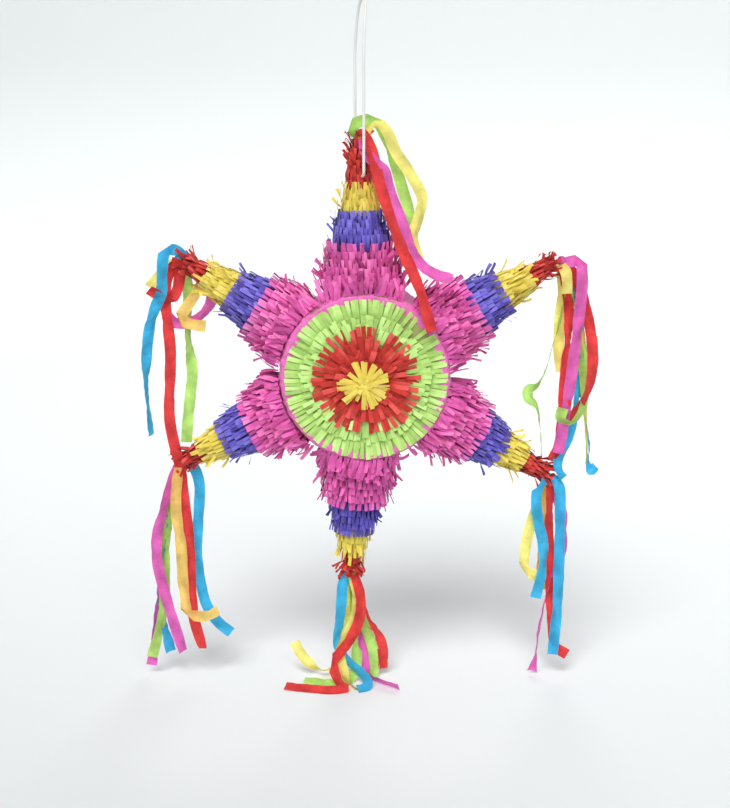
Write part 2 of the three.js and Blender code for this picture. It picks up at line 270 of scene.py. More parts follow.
FRINGE_PAPER = {
    colour: tissue(f"{colour}_tissue", rgb, deep=deep, light=light, tone=tone, through=through,
                   painted_highlight=painted_highlight)
    for colour, rgb, deep, light, tone, through, painted_highlight in (
        ("pink", (232, 96, 180), 0.84, 1.12, 0.47, 0.08, 0.40),
        ("purple", (98, 86, 192), 0.80, 1.16, 0.52, 0.06, 0.22),
        ("yellow", (253, 230, 100), 0.90, 1.06, 0.17, 0.24, 0.35),
        ("red", (200, 48, 38), 0.82, 1.16, 0.44, 0.06, 0.14),
        ("green", (188, 228, 122), 0.90, 1.06, 0.34, 0.06, 0.30),
    )
}
# the glued sheet's green is deeper than the fingers' green: partly the sheet's own paper, partly
# painted shade for where it shows between the fingers
GREEN_BASE = tissue(
    "green_tissue_glued", (164, 198, 104), deep=0.74, light=1.08, through=0.03, crease=0.6,
    patch=((158, 160, 98), 0.072, CENTRE_Z + 0.066, 0.040),
)
PINK_WRAP = tissue("pink_tissue_wrap", (236, 116, 192), deep=0.84, light=1.1, through=0.06,
                   crease=0.5)
RIBBON_PAPER = {
    colour: tissue(f"{colour}_streamer", rgb, through=0.35, tone=0.17, crepe=True, crease=0.5,
                   deep=0.89, light=1.07)
    for colour, rgb in {
        "blue": (62, 184, 234), "red": (228, 62, 62), "pink": (232, 106, 192),
        "green": (184, 230, 118), "yellow": (250, 236, 132), "orange": (246, 208, 116),
    }.items()
}
CARD = card_material()
CORD = cord_material()


# ---- mesh helpers ----

def mark(obj, name, values):
    """Stores one number at each vertex for the materials to read."""
    attribute = obj.data.attributes.new(name, "FLOAT", "POINT")
    attribute.data.foreach_set("value", np.asarray(values, np.float32))


def mesh_object(name, verts, faces, tones, material):
    mesh = bpy.data.meshes.new(name)
    mesh.from_pydata(verts.tolist(), [], faces)
    mesh.polygons.foreach_set("use_smooth", np.ones(len(faces), bool))
    mesh.materials.append(material)
    obj = bpy.data.objects.new(name, mesh)
    mark(obj, "tone", tones)
    bpy.context.scene.collection.objects.link(obj)
    return obj


class Build:
    """Gathers patches of vertices and quads, with a tone for each strip or each vertex."""

    def __init__(self):
        self.verts, self.faces, self.tones, self.count = [], [], [], 0

    def grid(self, points, tones, wrap=False):
        """points is (strips, rows, columns, 3); every strip is its own little sheet."""
        strips, rows, cols = points.shape[:3]
        index = np.arange(strips * rows * cols).reshape(strips, rows, cols) + self.count
        if wrap:
            index = np.concatenate([index, index[:, :, :1]], axis=2)
        quads = [index[:, :-1, :-1], index[:, 1:, :-1], index[:, 1:, 1:], index[:, :-1, 1:]]
        self.verts.append(points.reshape(-1, 3))
        self.faces.append(np.stack(quads, axis=-1).reshape(-1, 4))
        if tones.ndim == 1:
            tones = np.repeat(tones, rows * cols)
        self.tones.append(tones.ravel())
        self.count += strips * rows * cols

    def object(self, name, material):
        verts, faces, tones = map(np.concatenate, (self.verts, self.faces, self.tones))
        return mesh_object(name, verts, faces.tolist(), tones, material)


def unit(v):
    return v / np.maximum(np.linalg.norm(v, axis=-1, keepdims=True), 1e-12)


def row_noise(rng, n, low=1, high=9):
    """Values of about -1 to 1 that drift slowly from one finger to the next round a closed row."""
    phi = np.arange(n) * TURN / n
    total = sum(rng.uniform(0.4, 1) * np.sin(k * phi + rng.uniform(0, TURN))
                for k in rng.integers(low, high, 5))
    return total / 2.2


def fingers(build, rng, roots, ends, out, width, bulge, twist=0.12, sway=0.04, curl=0.0, fan=1.0,
            painted_root_shade=0.02):
    """Paper fingers from roots to ends, both (n, 3); out points away from the surface. Bulge is
    how far the middle stands off the straight line, curl how far the end turns up and fan the
    width at the end over the width at the root."""
    n, rows = len(roots), 6
    reach = ends - roots
    length = np.linalg.norm(reach, axis=1)[:, None, None]
    along = unit(reach)
    side = unit(np.cross(along, out))
    up = np.cross(side, along)[:, None, :]
    along, side = along[:, None, :], side[:, None, :]
    s = np.linspace(0, 1, rows)[None, :, None]

    def each(value):
        return np.broadcast_to(np.asarray(value, float), (n,))[:, None, None]

    width, bulge, curl = each(width), each(bulge), each(curl)
    bend = each(rng.normal(0, 1, n) * sway)
    turn = each(rng.normal(0, 1, n) * twist) * s + each(rng.normal(0, 1, n) * 0.4 * twist)
    centre = (
        roots[:, None, :]
        + reach[:, None, :] * s
        + up * (bulge * np.sin(math.pi * s**0.85) + curl * s**3)
        + side * bend * length * s**1.6
    )
    across = side * np.cos(turn) + up * np.sin(turn)
    half = width / 2 * (1 / fan + (1 - 1 / fan) * s)
    slant = each(rng.normal(0, 0.05, n)) * width * s**4
    middle = centre + up * each(rng.uniform(-0.05, 0.08, n)) * width * s
    left = centre - across * half + along * slant
    right = centre + across * half - along * slant
    # painted shade: a finger's tone starts at painted_root_shade at its root, where the row above
    # shades it, and reaches the finger's own random tone part way along
    tones = rng.uniform(0.25, 1, n)[:, None, None] * np.ones((1, rows, 3))
    tones = painted_root_shade + (tones - painted_root_shade) * np.minimum(1, s * 1.6)
    build.grid(np.stack([left, middle, right], axis=2), tones)


# ---- points ----

def drum_edge(lateral, margin):
    """How far out along a point's axis the drum's surface is, at a sideways distance."""
    r = DRUM_R + margin
    return np.sqrt(np.maximum(r * r - lateral**2, 0))


# Each colour's band: how far from the point's axis the free ends of its first and last rows stand,
# the fingers' length and width, the distance between rows and the stray strands (how many, between
# which shares of the band they are, how far they lean out and how long they are)
BANDS = {
    "pink": ((0.0545, 0.0440), 0.0245, 0.0047, 0.0098,
             (30, 0.22, 0.62, (0.35, 1.2), (0.017, 0.027))),
    "purple": ((0.0360, 0.0275), 0.0210, 0.0045, 0.0095,
               (9, 0.05, 0.75, (0.3, 1.2), (0.014, 0.022))),
    "yellow": ((0.0235, 0.0170), 0.0200, 0.0045, 0.0105,
               (14, 0.0, 0.75, (0.1, 0.8), (0.014, 0.024))),
    "red": ((0.0145, 0.0085), 0.0165, 0.0042, 0.0085,
            (36, 0.3, 0.96, (0.1, 0.85), (0.011, 0.020))),
}
# painted shade and light: each point's paper tones are scaled, deeper for the points in the star's
# own shade (the bottom most) and a little lighter for the upper left, which faces the key
PAINTED_POINT_SHADE = {"top": 0.92, "upper_left": 1.05, "lower_left": 0.96, "bottom": 0.70,
               "lower_right": 0.90, "upper_right": 0.96}
UNRULY = {"top": 1.6, "upper_left": 0.8, "lower_left": 0.9, "bottom": 1.0, "lower_right": 1.0,
          "upper_right": 1.3}
BASE_ROW_END = 0.132           # pink rows that end nearer than this stand against the drum


class Point:
    """One point of the star: places round its axis, out from the drum's centre."""

    def __init__(self, name):
        angle, self.length, ends = POINTS[name]
        self.name, self.unruly = name, UNRULY[name]
        self.stops = (0.095, *ends, self.length - 0.001)
        a = math.radians(angle)
        self.outward = np.array([math.cos(a), 0, math.sin(a)])
        self.sideways = np.array([-math.sin(a), 0, math.cos(a)])

    def r(self, at):
        """The card cone's radius."""
        t = (at - CONE_BASE_AT) / (self.length - CONE_BASE_AT)
        return CONE_BASE_R + (CONE_TIP_R - CONE_BASE_R) * t

    def place(self, at, phi, r):
        """Places at a distance along the axis, an angle round it and a radius, and the way out."""
        ring = np.cos(phi)[..., None] * self.sideways + np.sin(phi)[..., None] * FRONT
        at, r = np.asarray(at)[..., None], np.asarray(r)[..., None]
        return ORIGIN + at * self.outward + r * ring, ring

    def across(self, at, sideways, front):
        """Places given by three distances from the drum's centre."""
        return (ORIGIN + np.outer(at, self.outward) + np.outer(sideways, self.sideways)
                + np.outer(front, FRONT))


def sleeve(build, rng, point, pink, start, stop):
    """The tissue wrapped on the card under the fingers."""
    rows, spokes = 10, 48
    ats = np.linspace(0.093 if pink else start - 0.002, stop, rows)
    phis = np.linspace(0, TURN, spokes, endpoint=False)
    at, phi = np.meshgrid(ats, phis, indexing="ij")
    if pink:
        at = np.maximum(at, drum_edge(point.r(at) * np.cos(phi), 0.0004))
    puff = 0.0005 + 0.0004 * rng.random(at.shape)
    skin, _ = point.place(at, phi, point.r(at) + puff)
    # painted shade: the sleeve's tone is kept low, so it shows darker than the fingers over it, as
    # in their shade
    build.grid(skin[None], rng.uniform(0, 0.2, (1, rows, spokes)), wrap=True)


def band_row(build, rng, point, colour, tip, t):
    """One row of cut paper round a point. Its free ends are at tip, t of the way up the band."""
    (first, last), reach, wide = BANDS[colour][:3]
    pink = colour == "pink"
    end_r = first + (last - first) * t
    base_row = pink and tip < BASE_ROW_END
    loose = (1.0 if base_row else 0.28) * point.unruly
    count = int(round(TURN * (0.35 * float(point.r(tip)) + 0.65 * end_r) / wide))
    phi = (np.arange(count) + rng.uniform(0, 1)) * TURN / count
    phi = phi + rng.normal(0, 0.10, count) * TURN / count
    drift = row_noise(rng, count)
    at1 = tip + rng.normal(0, 0.0005, count) + 0.0005 * drift
    at0 = at1 - reach * (1 + 0.10 * drift * loose)
    if pink:
        push = np.maximum(0, drum_edge(point.r(tip) * np.cos(phi), 0.0006) - at0)
        at0 = at0 + push
        at1 = at1 + push * (0.6 if base_row else 0.0)
    r0 = point.r(np.maximum(at0, CONE_BASE_AT)) + 0.0012
    lift = np.abs(rng.normal(0, 1, count)) * 0.0011
    r1 = end_r * (1 + 0.03 * drift) + lift - 0.0008
    # a few fingers stand out from their row
    wild = rng.random(count) < min(0.3, (0.15 if base_row else 0.05) * point.unruly)
    r1 = r1 + np.where(wild, rng.uniform(0.002, 0.009, count) * (1 if pink else 0.8), 0)
    at1 = at1 - np.where(wild, rng.uniform(-0.001, 0.004, count), 0)
    if base_row:
        r1 = r1 + rng.uniform(-0.007, 0.004, count)
        at1 = at1 + rng.uniform(-0.004, 0.007, count)
    roots, ring = point.place(at0, phi, r0)
    swing = phi + rng.normal(0, 1, count) * (0.012 + 0.06 * loose)
    ends, _ = point.place(at1, swing, r1)
    twist = np.where(rng.random(count) < 0.35, 0.45, 0.12) + 0.3 * (loose > 0.8)
    widths = wide * rng.uniform(0.84, 1.03, count) * (1.15 if base_row else 1.0)
    fingers(build, rng, roots, ends, ring, widths, 0.0012 + 0.0010 * rng.random(count),
            twist=twist, sway=0.02 + 0.06 * loose, fan=1.06)


def shoulder_rows(build, rng, point):
    """The last rows, glued on the drum's shoulder, over the edge of the front."""
    count = 21
    # on the viewer's left they sit further out and leave the rim bare
    bare = 0.0035 if point.name.endswith("left") else 0.0
    for step in (0.0, 0.0045):
        u = np.linspace(-0.047, 0.047, count) + rng.normal(0, 0.0007, count)
        edge = np.sqrt((0.1034 + bare + step) ** 2 - u**2) + rng.uniform(-0.0008, 0.0014, count)
        deep = np.full(count, 0.0508 - 0.35 * bare - step * 0.35)
        tip_u = u * rng.uniform(1.00, 1.24, count) + rng.normal(0, 0.0032, count)
        tip_at = edge + rng.uniform(0.015, 0.024, count)
        tip_y = np.sqrt(np.maximum(0.0575**2 - tip_u**2, 0.02**2))
        tip_y = tip_y + rng.uniform(-0.002, 0.0035, count)
        out = unit(np.outer(u * 0.6, point.sideways) + 0.05 * FRONT)
        fingers(build, rng, point.across(edge, u, deep), point.across(tip_at, tip_u, tip_y), out,
                rng.uniform(0.0040, 0.0054, count), rng.uniform(0.0005, 0.0020, count), twist=0.6,
                sway=0.16, fan=1.05, painted_root_shade=0.45, curl=rng.uniform(-0.001, 0.004, count))


def stray_strands(build, rng, point, colour, start, stop):
    stray, low, high, leans, sizes = BANDS[colour][4]
    count = int(stray * (0.6 + 0.5 * point.unruly))
    phi = rng.uniform(0, TURN, count)
    at = start + (stop - start) * rng.uniform(low, high, count)
    roots, ring = point.place(at, phi, point.r(np.maximum(at, CONE_BASE_AT)) + 0.002)
    lean = rng.uniform(*leans, (count, 1))
    if point.name == "bottom" and colour == "red":
        lean = lean * 1.5
    ends = roots + unit(point.outward + ring * lean) * rng.uniform(*sizes, (count, 1))
    aside = rng.normal(0, 0.004 if colour == "pink" else 0.0015, (count, 1))
    ends = ends + np.cross(point.outward, ring) * aside
    fingers(build, rng, roots, ends, ring, rng.uniform(0.0034, 0.0054, count),
            rng.uniform(0, 0.002, count), twist=0.7, sway=0.15,
            curl=rng.uniform(-0.001, 0.004, count))


def fringe_band(rng, point, colour, start, stop):
    build = Build()
    pink = colour == "pink"
    sleeve(build, rng, point, pink, start, stop)
    tips = np.arange(stop, start + (0.016 if pink else 0.004), -BANDS[colour][3])
    for tip in tips[::-1]:
        band_row(build, rng, point, colour, tip, np.clip((tip - start) / (stop - start), 0, 1))
    if pink:
        shoulder_rows(build, rng, point)
    stray_strands(build, rng, point, colour, start, stop)
    # painted shade: the band's tones are scaled by its point's painted shade
    build.tones = [tones * PAINTED_POINT_SHADE[point.name] for tones in build.tones]
    obj = build.object(f"paper_{colour}_fringe_{point.name}", FRINGE_PAPER[colour])
    belongs(obj, "star", f"{colour}_fringe_{point.name}")


def make_points():
    for i, name in enumerate(POINTS):
        point = Point(name)
        for k, colour in enumerate(BANDS):
            rng = np.random.default_rng(1000 + 10 * i + k)
            fringe_band(rng, point, colour, point.stops[k], point.stops[k + 1])


# ---- drum ----

def ring_dirs(phi):
    return np.stack([np.cos(phi), np.zeros_like(phi), np.sin(phi)], axis=-1)


GREEN_R = 0.1006
FRONT_CENTRE = ORIGIN + np.array([0.0010, 0, -0.0012])   # the rings are glued a little off centre
BARE_FROM, BARE_TO, BARE_KEEP = 20, 75, 0.78             # degrees where the outer row is thinner


def disc_row(build, rng, root_r, end_r, wide, lift, y_root, uneven=0.03, skip=0.0, twist=0.15,
             sway=0.035, swing=0.012, bulge=0.0012, thinned=False):
    """A ring of fingers on the front, whose free ends point outwards."""
    middle = 0.4 * root_r + 0.6 * end_r
    count = int(round(TURN * middle / wide))
    phi = (np.arange(count) + rng.uniform(0, 1)) * TURN / count
    drift = row_noise(rng, count, 2, 12)
    phi = phi + rng.normal(0, 0.10 * wide / middle, count)
    end = end_r * (1 + uneven * (0.5 * drift + 0.7 * rng.normal(0, 1, count)))
    rise = lift * np.clip(0.8 + 0.5 * drift + 0.5 * rng.normal(0, 1, count), 0.15, 2.4)
    keep = rng.random(count) >= skip
    if thinned:
        turn = np.degrees(phi) % 360
        keep &= (turn < BARE_FROM) | (turn > BARE_TO) | (rng.random(count) < BARE_KEEP)
    phi, end, rise = phi[keep], end[keep], rise[keep]
    n = len(phi)
    roots = FRONT_CENTRE + ring_dirs(phi) * root_r - FRONT * y_root
    aim = phi + rng.normal(0, 1, n) * swing * 0.1 / middle
    ends = FRONT_CENTRE + ring_dirs(aim) * end[:, None] + FRONT * (rise - y_root)[:, None]
    fingers(build, rng, roots, ends, FRONT, wide * rng.uniform(0.90, 1.04, n) * end_r / middle,
            bulge * rng.uniform(0.2, 1.2, n), twist=twist, sway=sway,
            fan=min(1.3, end_r / root_r), painted_root_shade=0.35)


def flat_ring(build, rng, inner, outer, y):
    rings, spokes, ripple = 8, 120, 0.0004
    r = np.linspace(inner, outer, rings)
    phi = np.linspace(0, TURN, spokes, endpoint=False)
    rr, pp = np.meshgrid(r, phi, indexing="ij")
    points = FRONT_CENTRE + ring_dirs(pp) * rr[..., None]
    points[..., 1] = y - ripple * rng.random(rr.shape)
    build.grid(points[None], rng.uniform(0.3, 0.7, (1, rings, spokes)), wrap=True)


ROSETTE = [  # angle in degrees and length in millimetres of each yellow strand
    (120, 31), (108, 30), (97, 29), (88, 28), (66, 28), (58, 27), (45, 28), (36, 27), (19, 31),
    (11, 30), (-3, 31), (-14, 31), (-26, 28), (-37, 31), (-46, 29), (-60, 30), (-73, 32),
    (-84, 31), (-95, 32), (-117, 23), (-133, 33), (-143, 33), (-156, 27), (-168, 34), (178, 34),
    (168, 31), (146, 24),
]


def rosette(rng):
    """Yellow strands glued by their middles, long ones flat and short ones standing over them."""
    build = Build()
    n = len(ROSETTE)
    angles = np.radians([a for a, _ in ROSETTE]) + rng.normal(0, 0.02, n)
    sizes = np.array([r for _, r in ROSETTE]) * MM
    middle = FRONT_CENTRE + np.array([-0.002, 0, -0.0042])
    level = -FRONT_Y + 0.0094 + rng.uniform(0, 0.0026, n)
    roots = middle + ring_dirs(angles) * 0.0015 + FRONT * (level + 0.0015)[:, None]
    ends = middle + ring_dirs(angles) * sizes[:, None] + FRONT * (level - 0.0006)[:, None]
    fingers(build, rng, roots, ends, FRONT, rng.uniform(0.0044, 0.0060, n),
            rng.uniform(-0.0003, 0.0016, n), twist=0.28, sway=0.03, fan=1.2, painted_root_shade=0.5)
    count = 26
    phi = rng.uniform(0, TURN, count)
    roots = middle + ring_dirs(phi) * rng.uniform(0, 0.003, (count, 1)) + FRONT * 0.0625
    ends = middle + ring_dirs(phi) * rng.uniform(0.006, 0.013, (count, 1))
    ends = ends + FRONT * (0.0630 + rng.uniform(-0.001, 0.0015, (count, 1)))
    fingers(build, rng, roots, ends, FRONT, rng.uniform(0.0034, 0.0055, count),
            rng.uniform(0, 0.0010, count), twist=0.4, sway=0.15, painted_root_shade=0.8)
    obj = build.object("paper_front_rosette", FRINGE_PAPER["yellow"])
    belongs(obj, "star", "front_rosette_yellow")


def front_fringe():
    """The front, from the card up: a glued green sheet, green rows, red rows and the rosette."""
    rng = np.random.default_rng(41)
    glued = Build()
    flat_ring(glued, rng, 0.040, GREEN_R - 0.0006, FRONT_Y - 0.0004)
    base = glued.object("paper_front_green_base", GREEN_BASE)
    belongs(base, "star", "front_fringe_green")

    green = Build()
    disc_row(green, rng, 0.0775, GREEN_R - 0.0002, 0.0053, 0.0016, FRONT_Y - 0.0008, uneven=0.006,
             skip=0.04, thinned=True)
    disc_row(green, rng, 0.0590, 0.0800, 0.0052, 0.0030, FRONT_Y - 0.0016, skip=0.03)
    disc_row(green, rng, 0.0470, 0.0705, 0.0052, 0.0030, FRONT_Y - 0.0024, skip=0.10, uneven=0.05)
    fringe = green.object("paper_front_fringe_green", FRINGE_PAPER["green"])
    belongs(fringe, "star", "front_fringe_green")

    red = Build()
    disc_row(red, rng, 0.040, 0.0675, 0.0051, 0.0030, FRONT_Y - 0.0034, uneven=0.035, skip=0.12)
    disc_row(red, rng, 0.027, 0.0530, 0.0052, 0.0042, FRONT_Y - 0.0044, uneven=0.05, skip=0.05,
             twist=0.2, sway=0.05)
    disc_row(red, rng, 0.020, 0.0370, 0.0064, 0.0040, FRONT_Y - 0.0050, uneven=0.12, skip=0.3,
             twist=0.6, sway=0.25, swing=0.05, bulge=0.0015)
    flat_ring(red, rng, 0.010, 0.044, FRONT_Y - 0.0031)
    fringe = red.object("paper_front_fringe_red", FRINGE_PAPER["red"])
    belongs(fringe, "star", "front_fringe_red")
    rosette(rng)


def wrinkles(rng, phi, waves):
    """A seamless bumpy line round the drum."""
    out = np.zeros_like(phi)
    for low, high, size in waves:
        for k in rng.integers(low, high, 7):
            out += size * np.sin(k * phi + rng.uniform(0, TURN)) * rng.uniform(0.4, 1)
    return out


# depth and radius across the drum's tissue, front to back
WRAP_PROFILE = [
    (-0.0512, 0.0930), (-0.0517, 0.0965), (-0.0521, 0.0995), (-0.0518, 0.1014), (-0.0508, 0.1030),
    (-0.0490, 0.1041), (-0.0460, 0.1048), (-0.0410, 0.1053), (-0.0340, 0.1056), (-0.0260, 0.1058),
    (-0.0160, 0.1059), (-0.0060, 0.1060), (0.0060, 0.1060), (0.0160, 0.1062), (0.0260, 0.1064),
    (0.0340, 0.1064), (0.0410, 0.1062), (0.0460, 0.1058), (0.0500, 0.1048), (0.0522, 0.1028),
    (0.0530, 0.1000), (0.0530, 0.0955), (0.0522, 0.0915), (0.0517, 0.0900),
]


def drum_wrap():
    """Tissue pulled loosely round the drum and turned in over both faces: it puffs out between the
    rims and its creases run round the drum."""
    rng = np.random.default_rng(71)
    spokes = 420
    phi = np.linspace(0, TURN, spokes, endpoint=False)
    # more of the loose tissue gathers on the viewer's left
    swell = np.maximum(0.0004 * row_noise(rng, spokes, 2, 7), 0)
    swell = swell + 0.0010 * np.exp(-(((phi - math.radians(150)) / 0.5) ** 2))
    crease = [wrinkles(rng, phi, [(6, 22, 0.00030), (24, 70, 0.00022)]) for _ in WRAP_PROFILE]
    fine = wrinkles(rng, phi, [(70, 180, 0.00010)])
    rings = []
    for k, (y, r) in enumerate(WRAP_PROFILE):
        free = min(1.0, max(0.0, (r - 0.1) / 0.005))
        near = crease[k] + 0.5 * crease[k - 1] + fine
        ring = ORIGIN + ring_dirs(phi) * (r + free * swell + near * (0.4 + 0.8 * free))[:, None]
        ring[:, 1] = y + 0.5 * near * (1 - free) * math.copysign(1, y)
        rings.append(ring)
    build = Build()
    tones = rng.uniform(0.35, 0.65, (1, len(rings), spokes))
    build.grid(np.array(rings)[None], tones, wrap=True)
    wrap = build.object("tissue_drum_wrap", PINK_WRAP)
    belongs(wrap, "star", "drum_tissue_cover")


def back_sheet():
    """The flat tissue on the back, with the cut round the fill flap, and the flap's own tissue."""
    rng = np.random.default_rng(83)
    half, low, high, tiny = 0.032, CENTRE_Z - 0.026, CENTRE_Z + 0.030, 1e-6
    steps = np.arange(-0.104, 0.1045, 0.0025)
    xs = np.unique(np.round(np.concatenate([steps, [-half, half]]), 5))
    zs = np.unique(np.round(np.concatenate([steps + CENTRE_Z, [low, high]]), 5))
    xx, zz = np.meshgrid(xs, zs, indexing="ij")
    ripple = np.zeros_like(xx)
    for _ in range(26):
        kx, kz = rng.normal(0, 160, 2)
        ripple += 0.00008 * np.sin(kx * xx + kz * zz + rng.uniform(0, 6.3))
    yy = BACK_Y + 0.0003 + ripple
    mid_x, mid_z = (xs[:-1] + xs[1:]) / 2, (zs[:-1] + zs[1:]) / 2
    flap_cell = (np.abs(mid_x) < half)[:, None] & ((mid_z > low) & (mid_z < high))[None, :]

    def part(name, keep, cells, size, body, node):
        """The kept grid points and cells, drawn in a little round the flap's middle by size."""
        middle = CENTRE_Z + 0.002
        verts = np.stack([xx * size, yy, (zz - middle) * size + middle], axis=-1)
        number = -np.ones(xx.shape, int)
        number[keep] = np.arange(keep.sum())
        quads = np.stack([number[:-1, :-1], number[1:, :-1], number[1:, 1:], number[:-1, 1:]], -1)
        quads = quads[cells & (quads.min(axis=-1) >= 0)]
        obj = mesh_object(name, verts[keep], quads.tolist(), np.full(keep.sum(), 0.5), PINK_WRAP)
        belongs(obj, body, node)

    beside = np.abs(xx)
    inside = (beside < half - tiny) & (zz > low + tiny) & (zz < high - tiny)
    reach = (beside < half + tiny) & (zz > low - tiny) & (zz < high + tiny)
    disc = np.hypot(xx, zz - CENTRE_Z) < 0.099
    part("tissue_back_sheet", disc & ~inside, ~flap_cell, 1.0, "star", "back_tissue_cover")
    part("tissue_flap_sheet", reach, flap_cell, 0.985, "flap_leaf", "fill_flap_tissue")


# ---- cord ----

def distances(line):
    """How far along the line each of its points is."""
    return np.concatenate([[0], np.cumsum(np.linalg.norm(np.diff(line, axis=0), axis=1))])


def spline(points, step):
    """Points a fixed distance apart on a smooth line through the given ones, and its length."""
    p = np.asarray(points, float)
    gaps = np.sqrt(np.linalg.norm(np.diff(p[:, :3], axis=0), axis=1))
    knots = np.concatenate([[0], np.cumsum(gaps)])
    ends = np.concatenate([[2 * p[0] - p[1]], p, [2 * p[-1] - p[-2]]])
    k = np.concatenate([[2 * knots[0] - knots[1]], knots, [2 * knots[-1] - knots[-2]]])
    fine = []
    for i in range(1, len(p)):
        p0, p1, p2, p3 = ends[i - 1 : i + 3]
        t0, t1, t2, t3 = k[i - 1 : i + 3]
        t = np.linspace(t1, t2, 24, endpoint=i == len(p) - 1)[:, None]
        a1 = (t1 - t) / (t1 - t0) * p0 + (t - t0) / (t1 - t0) * p1
        a2 = (t2 - t) / (t2 - t1) * p1 + (t - t1) / (t2 - t1) * p2
        a3 = (t3 - t) / (t3 - t2) * p2 + (t - t2) / (t3 - t2) * p3
        b1 = (t2 - t) / (t2 - t0) * a1 + (t - t0) / (t2 - t0) * a2
        b2 = (t3 - t) / (t3 - t1) * a2 + (t - t1) / (t3 - t1) * a3
        fine.append((t2 - t) / (t2 - t1) * b1 + (t - t1) / (t2 - t1) * b2)
    fine = np.concatenate(fine)
    run = distances(fine[:, :3])
    at = np.linspace(0, run[-1], max(3, int(round(run[-1] / step)) + 1))
    return np.stack([np.interp(at, run, column) for column in fine.T], axis=1), run[-1]


def carried_frame(line):
    """The way along the line and a direction across it that turns as little as possible."""
    tangent = unit(np.gradient(line, axis=0))
    across = [unit(np.cross(tangent[0], [0.3, 0.9, 0.1]))]
    for t in tangent[1:]:
        across.append(unit(across[-1] - t * np.dot(across[-1], t)))
    return tangent, np.array(across)


def cord_route():
    """The part's own route: up the front leg, round the eye and down the rear leg."""
    a = math.radians(POINTS["top"][0])
    x = CORD_HOLE_AT * math.cos(a)
    z = CENTRE_Z + CORD_HOLE_AT * math.sin(a)
    y, s = CORD_LEG_Y, CORD_SLANT
    top = CORD_DIAMETER / 2
    inner = 0.42               # the holes, as a share of the legs' distance from the axis
    turn = CORD_BEND * np.array([(1.0, 0.0), (0.741, 0.034), (0.5, 0.134), (0.293, 0.293),
                                 (0.134, 0.5), (0.034, 0.741), (0.0, 1.0)])

    def leg(side):
        """From the hole up to the knot: the front leg (1) or the rear one (-1)."""
        points = [(x + side * s * inner, -side * y * inner, z)]
        points += [(x + side * s * (1 - inward / y), -side * (y - inward), z + rise)
                   for inward, rise in turn]
        points += [(x + side * s, -side * y, level)
                   for level in (z + 0.03, (KNOT_Z + z) / 2, KNOT_Z - 0.070)]
        return points + [(x / 2 + side * 0.004, -side * y * 0.55, KNOT_Z - 0.022),
                         (side * 0.0015, -side * 0.001, KNOT_Z)]

    half = [(CORD_BEND * math.sin(a), 0, top - CORD_BEND * (1 - math.cos(a)))
            for a in np.radians([100, 80, 60, 40, 20])]
    eye = [(0.0058, 0, KNOT_Z * 0.62), *half, (0, 0, top)]
    eye += [(-px, py, pz) for px, py, pz in reversed(eye[:-1])]
    return leg(1) + eye + leg(-1)[::-1]


def rope(name, line, diameter):
    """A laid cord: its strands twist round the line once every lay."""
    lay, sides, strands = 0.011, 18, 3
    tangent, across = carried_frame(line)
    other = np.cross(tangent, across)
    phi = np.linspace(0, TURN, sides, endpoint=False)
    lobe = np.cos(strands * (phi[None, :] - TURN * distances(line)[:, None] / lay))
    r = diameter / 2 * (0.93 + 0.07 * lobe)
    points = (
        line[:, None, :]
        + across[:, None, :] * (np.cos(phi)[None, :] * r)[..., None]
        + other[:, None, :] * (np.sin(phi)[None, :] * r)[..., None]
    )
    build = Build()
    build.grid(points[None], (lobe[None] + 1) / 2, wrap=True)
    return build.object(name, CORD)


def hanging_cord():
    step = 0.0011
    line, length = spline(cord_route(), step)
    cord = rope("cotton_hanging_cord", line, CORD_DIAMETER)
    # the overhand knot: the cord wound round both legs
    t = np.linspace(0, 1, 60)
    phi = TURN * 2.6 * t
    r = 0.0040 + 0.0003 * np.sin(5 * phi)
    coil = np.stack([r * np.cos(phi), r * np.sin(phi) * 0.9, KNOT_Z + 0.006 - 0.0125 * t], axis=1)
    knot = rope("cotton_knot", spline(coil, step)[0], CORD_DIAMETER * 0.92)
    for piece in (cord, knot):
        belongs(piece, "cord_loop", "hanging_cord_loop")


# ---- streamers ----

